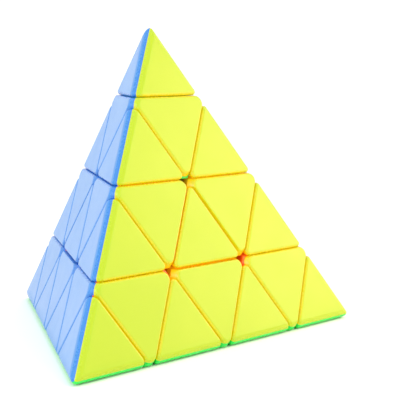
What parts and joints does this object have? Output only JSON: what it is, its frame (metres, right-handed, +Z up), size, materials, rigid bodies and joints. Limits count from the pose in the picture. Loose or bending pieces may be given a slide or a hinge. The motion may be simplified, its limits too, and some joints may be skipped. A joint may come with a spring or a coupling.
{
  "type": "four-layer pyramid twisty puzzle",
  "caption": "Tetrahedral twisty puzzle with four layers per corner; layers, corners and tips turn about the four corner axes.",
  "frame": {"origin": "centre of the green face, which the puzzle rests on", "axes": "+Z up through the top corner, -Y out of the yellow front face's side, +X towards the right base corner"},
  "size_m": [0.0994, 0.0866, 0.0819],
  "materials": {
    "green_plastic": "satin moulded ABS, coloured right through",
    "yellow_plastic": "satin moulded ABS, coloured right through",
    "blue_plastic": "satin moulded ABS, coloured right through",
    "red_plastic": "satin moulded ABS, coloured right through",
    "hub_plastic": "satin moulded ABS",
    "core_plastic": "moulded nylon, unpolished",
    "steel": "bright zinc-plated steel"
  },
  "bodies": {
    "base_layer": {"core": "core_plastic", "axle_screw_top": "steel", "axle_spring_top": "steel", "spring_washer_top": "steel", "axle_screw_left": "steel", "axle_spring_left": "steel", "spring_washer_left": "steel", "axle_screw_right": "steel", "axle_spring_right": "steel", "spring_washer_right": "steel", "axle_screw_back": "steel", "axle_spring_back": "steel", "spring_washer_back": "steel", "inner_hub_left": "hub_plastic", "inner_hub_right": "hub_plastic", "inner_hub_back": "hub_plastic", "face_centre_green": "green_plastic", "middle_edge_left_right": "yellow_plastic", "middle_edge_left_back": "blue_plastic", "middle_edge_right_back": "red_plastic"},
    "upper_layers": {"inner_hub_top": "hub_plastic", "face_centre_red": "red_plastic", "face_centre_blue": "blue_plastic", "face_centre_yellow": "yellow_plastic", "middle_edge_top_left": "yellow_plastic", "middle_edge_top_right": "yellow_plastic", "middle_edge_top_back": "blue_plastic"},
    "corner_top": {"corner_centre_top": "yellow_plastic", "edge_wing_top_to_left": "yellow_plastic", "edge_wing_top_to_right": "yellow_plastic", "edge_wing_top_to_back": "blue_plastic"},
    "corner_left": {"corner_centre_left": "yellow_plastic", "edge_wing_left_to_right": "yellow_plastic", "edge_wing_left_to_back": "blue_plastic"},
    "corner_right": {"corner_centre_right": "yellow_plastic", "edge_wing_right_to_left": "yellow_plastic", "edge_wing_right_to_back": "red_plastic"},
    "corner_back": {"corner_centre_back": "blue_plastic", "edge_wing_back_to_left": "blue_plastic", "edge_wing_back_to_right": "red_plastic"},
    "upper_wing_left": {"edge_wing_left_to_top": "yellow_plastic"},
    "upper_wing_right": {"edge_wing_right_to_top": "yellow_plastic"},
    "upper_wing_back": {"edge_wing_back_to_top": "blue_plastic"},
    "tip_top": {"tip_cap_top": "yellow_plastic", "tip_base_top": "yellow_plastic"},
    "tip_left": {"tip_cap_left": "yellow_plastic", "tip_base_left": "yellow_plastic"},
    "tip_right": {"tip_cap_right": "yellow_plastic", "tip_base_right": "yellow_plastic"},
    "tip_back": {"tip_cap_back": "blue_plastic", "tip_base_back": "blue_plastic"}
  },
  "joints": [
    {"name": "upper_layers_turn", "type": "hinge", "parent": "base_layer", "child": "upper_layers", "pos_m": [0, 0, 0.02123], "axis": [0, 0, 1], "range_deg": [-120, 120]},
    {"name": "corner_top_turn", "type": "hinge", "parent": "upper_layers", "child": "corner_top", "pos_m": [0, 0, 0.02123], "axis": [0, 0, 1], "continuous": true},
    {"name": "corner_left_turn", "type": "hinge", "parent": "base_layer", "child": "corner_left", "pos_m": [0, 0, 0.02123], "axis": [-0.8165, -0.4714, -0.3333], "continuous": true},
    {"name": "corner_right_turn", "type": "hinge", "parent": "base_layer", "child": "corner_right", "pos_m": [0, 0, 0.02123], "axis": [0.8165, -0.4714, -0.3333], "continuous": true},
    {"name": "corner_back_turn", "type": "hinge", "parent": "base_layer", "child": "corner_back", "pos_m": [0, 0, 0.02123], "axis": [0, 0.9428, -0.3333], "continuous": true},
    {"name": "tip_top_turn", "type": "hinge", "parent": "corner_top", "child": "tip_top", "pos_m": [0, 0, 0.02123], "axis": [0, 0, 1], "continuous": true},
    {"name": "tip_left_turn", "type": "hinge", "parent": "corner_left", "child": "tip_left", "pos_m": [0, 0, 0.02123], "axis": [-0.8165, -0.4714, -0.3333], "continuous": true},
    {"name": "tip_right_turn", "type": "hinge", "parent": "corner_right", "child": "tip_right", "pos_m": [0, 0, 0.02123], "axis": [0.8165, -0.4714, -0.3333], "continuous": true},
    {"name": "tip_back_turn", "type": "hinge", "parent": "corner_back", "child": "tip_back", "pos_m": [0, 0, 0.02123], "axis": [0, 0.9428, -0.3333], "continuous": true},
    {"name": "upper_wing_left_turn", "type": "hinge", "parent": "upper_layers", "child": "upper_wing_left", "pos_m": [0, 0, 0.02123], "axis": [-0.8165, -0.4714, -0.3333], "continuous": true},
    {"name": "upper_wing_right_turn", "type": "hinge", "parent": "upper_layers", "child": "upper_wing_right", "pos_m": [0, 0, 0.02123], "axis": [0.8165, -0.4714, -0.3333], "continuous": true},
    {"name": "upper_wing_back_turn", "type": "hinge", "parent": "upper_layers", "child": "upper_wing_back", "pos_m": [0, 0, 0.02123], "axis": [0, 0.9428, -0.3333], "continuous": true}
  ],
  "couplings": [
    {"joint": "upper_wing_left_turn", "follows": "corner_left_turn", "ratio": 1},
    {"joint": "upper_wing_right_turn", "follows": "corner_right_turn", "ratio": 1},
    {"joint": "upper_wing_back_turn", "follows": "corner_back_turn", "ratio": 1}
  ]
}
